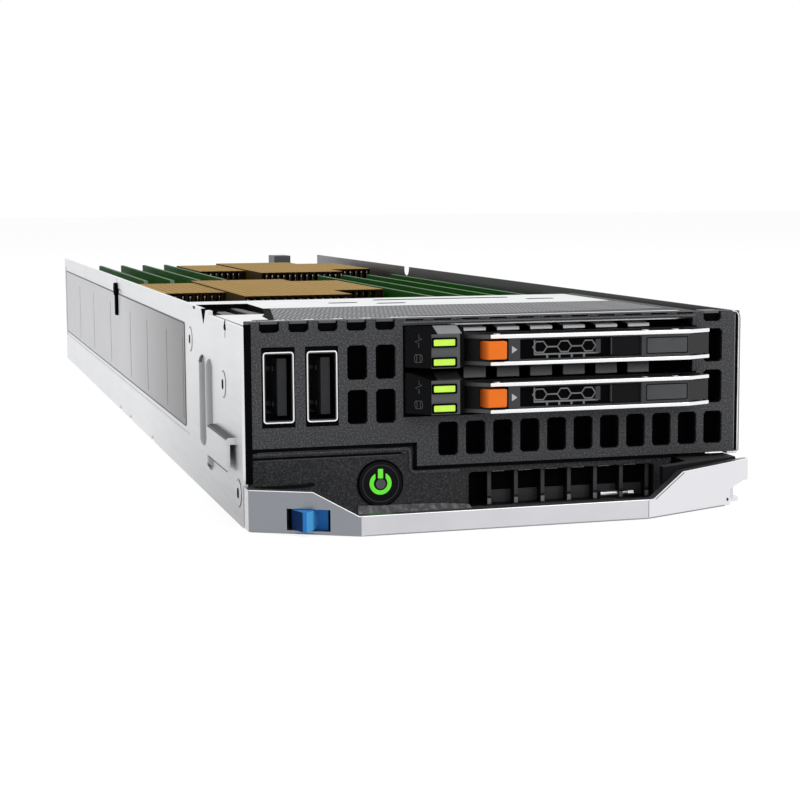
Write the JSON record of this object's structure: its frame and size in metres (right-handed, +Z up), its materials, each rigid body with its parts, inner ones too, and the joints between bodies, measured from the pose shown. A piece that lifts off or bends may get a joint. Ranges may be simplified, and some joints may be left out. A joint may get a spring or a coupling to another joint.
{
  "type": "blade server",
  "caption": "Open-topped blade server sled with a vented front bezel, sliding solid-state drives, finned heatsinks, latched memory modules and a swinging ejector handle.",
  "frame": {"origin": "middle of the front edge of the tray's flat underside", "axes": "+X to the right seen from the front, +Y to the rear, +Z up"},
  "size_m": [0.1077, 0.4054, 0.0402],
  "materials": {
    "tray_steel": "satin zinc-plated sheet",
    "cover_steel": "bright plated sheet",
    "cage_steel": "satin plated sheet",
    "bezel_plastic": "fine matte texture",
    "panel_plastic": "fine matte texture",
    "housing_plastic": "satin grey",
    "circuit_board": "solder mask",
    "port_shell": "bright plated",
    "port_tongue": "smooth",
    "button_plastic": "satin black",
    "handle_metal": "fine cast, satin",
    "dark_plastic": "matte black",
    "pin_steel": "turned",
    "slider_plastic": "satin blue",
    "carrier_plastic": "matte dark grey",
    "drive_case": "satin",
    "grip_plastic": "satin dark grey",
    "grip_trim": "bright satin",
    "release_plastic": "satin orange",
    "socket_plastic": "moulded",
    "processor_lid": "satin plated",
    "sink_copper": "bare copper-coloured fins",
    "module_board": "solder mask",
    "latch_plastic": "satin light grey",
    "part_plastic": "moulded",
    "cell_steel": "bright",
    "guide_metal": "grey cast metal",
    "light_green": "lit light guide"
  },
  "bodies": {
    "chassis": {"chassis_tray": "tray_steel", "chassis_rivets": "pin_steel", "front_bezel": "bezel_plastic", "lower_panel": "panel_plastic", "top_cover": "cover_steel", "drive_cage": "cage_steel", "drive_backplane": "circuit_board", "front_io_board": "circuit_board", "usb_port_left": "port_shell", "usb_port_right": "port_shell", "usb_tongues": "port_tongue", "status_housing": "housing_plastic", "status_lights": "light_green", "handle_pin": "pin_steel", "motherboard": "circuit_board", "board_hardware": "pin_steel", "cpu_sockets": "socket_plastic", "cpus": "processor_lid", "heatsink_front": "sink_copper", "heatsink_rear": "sink_copper", "dimm_sockets_front": "socket_plastic", "dimm_sockets_rear": "socket_plastic", "dimms_front": "module_board", "dimms_rear": "module_board", "power_parts": "part_plastic", "chipset": "part_plastic", "coin_cell": "cell_steel", "midplane_connectors": "socket_plastic", "rear_guide": "guide_metal"},
    "power_button": {"power_button": "button_plastic", "power_symbol": "light_green"},
    "handle": {"ejector_handle": "handle_metal", "handle_core": "dark_plastic"},
    "slider": {"latch_slider": "slider_plastic"},
    "carrier_upper": {"ssd_carrier_upper": "carrier_plastic", "ssd_upper": "drive_case"},
    "carrier_lower": {"ssd_carrier_lower": "carrier_plastic", "ssd_lower": "drive_case"},
    "grip_upper": {"ssd_handle_upper": "grip_plastic", "ssd_trim_upper": "grip_trim"},
    "grip_lower": {"ssd_handle_lower": "grip_plastic", "ssd_trim_lower": "grip_trim"},
    "release_upper": {"ssd_release_upper": "release_plastic"},
    "release_lower": {"ssd_release_lower": "release_plastic"},
    "latch_front_1_front": {"latch_front_1_front": "latch_plastic"},
    "latch_front_1_rear": {"latch_front_1_rear": "latch_plastic"},
    "latch_front_2_front": {"latch_front_2_front": "latch_plastic"},
    "latch_front_2_rear": {"latch_front_2_rear": "latch_plastic"},
    "latch_front_3_front": {"latch_front_3_front": "latch_plastic"},
    "latch_front_3_rear": {"latch_front_3_rear": "latch_plastic"},
    "latch_front_4_front": {"latch_front_4_front": "latch_plastic"},
    "latch_front_4_rear": {"latch_front_4_rear": "latch_plastic"},
    "latch_rear_1_front": {"latch_rear_1_front": "latch_plastic"},
    "latch_rear_1_rear": {"latch_rear_1_rear": "latch_plastic"},
    "latch_rear_2_front": {"latch_rear_2_front": "latch_plastic"},
    "latch_rear_2_rear": {"latch_rear_2_rear": "latch_plastic"},
    "latch_rear_3_front": {"latch_rear_3_front": "latch_plastic"},
    "latch_rear_3_rear": {"latch_rear_3_rear": "latch_plastic"},
    "latch_rear_4_front": {"latch_rear_4_front": "latch_plastic"},
    "latch_rear_4_rear": {"latch_rear_4_rear": "latch_plastic"}
  },
  "joints": [
    {"name": "handle_swing", "type": "hinge", "parent": "chassis", "child": "handle", "pos_m": [0.0455, 0.0045, 0.004], "axis": [0, 0, 1], "range_deg": [0, 55]},
    {"name": "latch_slide", "type": "slide", "parent": "handle", "child": "slider", "axis": [0.8758, -0.4826, 0], "range_m": [0, 0.003], "stiffness_N_per_m": 150},
    {"name": "power_press", "type": "slide", "parent": "chassis", "child": "power_button", "axis": [0, 1, 0], "range_m": [0, 0.001], "stiffness_N_per_m": 400},
    {"name": "carrier_slide_lower", "type": "slide", "parent": "chassis", "child": "carrier_lower", "axis": [0, -1, 0], "range_m": [0, 0.085]},
    {"name": "grip_swing_lower", "type": "hinge", "parent": "carrier_lower", "child": "grip_lower", "pos_m": [0.0404, -0.0029, 0.02435], "axis": [0, 0, 1], "range_deg": [0, 40]},
    {"name": "release_press_lower", "type": "slide", "parent": "grip_lower", "child": "release_lower", "axis": [0, 1, 0], "range_m": [0, 0.0012], "stiffness_N_per_m": 300},
    {"name": "carrier_slide_upper", "type": "slide", "parent": "chassis", "child": "carrier_upper", "axis": [0, -1, 0], "range_m": [0, 0.085]},
    {"name": "grip_swing_upper", "type": "hinge", "parent": "carrier_upper", "child": "grip_upper", "pos_m": [0.0404, -0.0029, 0.0338], "axis": [0, 0, 1], "range_deg": [0, 40]},
    {"name": "release_press_upper", "type": "slide", "parent": "grip_upper", "child": "release_upper", "axis": [0, 1, 0], "range_m": [0, 0.0012], "stiffness_N_per_m": 300},
    {"name": "latch_front_1_front_turn", "type": "hinge", "parent": "chassis", "child": "latch_front_1_front", "pos_m": [0.017, 0.098, 0.0086], "axis": [1, 0, 0], "range_deg": [0, 20]},
    {"name": "latch_front_1_rear_turn", "type": "hinge", "parent": "chassis", "child": "latch_front_1_rear", "pos_m": [0.017, 0.23935, 0.0086], "axis": [-1, 0, 0], "range_deg": [0, 20]},
    {"name": "latch_front_2_front_turn", "type": "hinge", "parent": "chassis", "child": "latch_front_2_front", "pos_m": [0.0253, 0.098, 0.0086], "axis": [1, 0, 0], "range_deg": [0, 20]},
    {"name": "latch_front_2_rear_turn", "type": "hinge", "parent": "chassis", "child": "latch_front_2_rear", "pos_m": [0.0253, 0.23935, 0.0086], "axis": [-1, 0, 0], "range_deg": [0, 20]},
    {"name": "latch_front_3_front_turn", "type": "hinge", "parent": "chassis", "child": "latch_front_3_front", "pos_m": [0.0336, 0.098, 0.0086], "axis": [1, 0, 0], "range_deg": [0, 20]},
    {"name": "latch_front_3_rear_turn", "type": "hinge", "parent": "chassis", "child": "latch_front_3_rear", "pos_m": [0.0336, 0.23935, 0.0086], "axis": [-1, 0, 0], "range_deg": [0, 20]},
    {"name": "latch_front_4_front_turn", "type": "hinge", "parent": "chassis", "child": "latch_front_4_front", "pos_m": [0.0419, 0.098, 0.0086], "axis": [1, 0, 0], "range_deg": [0, 20]},
    {"name": "latch_front_4_rear_turn", "type": "hinge", "parent": "chassis", "child": "latch_front_4_rear", "pos_m": [0.0419, 0.23935, 0.0086], "axis": [-1, 0, 0], "range_deg": [0, 20]},
    {"name": "latch_rear_1_front_turn", "type": "hinge", "parent": "chassis", "child": "latch_rear_1_front", "pos_m": [-0.017, 0.217, 0.0086], "axis": [1, 0, 0], "range_deg": [0, 20]},
    {"name": "latch_rear_1_rear_turn", "type": "hinge", "parent": "chassis", "child": "latch_rear_1_rear", "pos_m": [-0.017, 0.35835, 0.0086], "axis": [-1, 0, 0], "range_deg": [0, 20]},
    {"name": "latch_rear_2_front_turn", "type": "hinge", "parent": "chassis", "child": "latch_rear_2_front", "pos_m": [-0.0253, 0.217, 0.0086], "axis": [1, 0, 0], "range_deg": [0, 20]},
    {"name": "latch_rear_2_rear_turn", "type": "hinge", "parent": "chassis", "child": "latch_rear_2_rear", "pos_m": [-0.0253, 0.35835, 0.0086], "axis": [-1, 0, 0], "range_deg": [0, 20]},
    {"name": "latch_rear_3_front_turn", "type": "hinge", "parent": "chassis", "child": "latch_rear_3_front", "pos_m": [-0.0336, 0.217, 0.0086], "axis": [1, 0, 0], "range_deg": [0, 20]},
    {"name": "latch_rear_3_rear_turn", "type": "hinge", "parent": "chassis", "child": "latch_rear_3_rear", "pos_m": [-0.0336, 0.35835, 0.0086], "axis": [-1, 0, 0], "range_deg": [0, 20]},
    {"name": "latch_rear_4_front_turn", "type": "hinge", "parent": "chassis", "child": "latch_rear_4_front", "pos_m": [-0.0419, 0.217, 0.0086], "axis": [1, 0, 0], "range_deg": [0, 20]},
    {"name": "latch_rear_4_rear_turn", "type": "hinge", "parent": "chassis", "child": "latch_rear_4_rear", "pos_m": [-0.0419, 0.35835, 0.0086], "axis": [-1, 0, 0], "range_deg": [0, 20]}
  ]
}
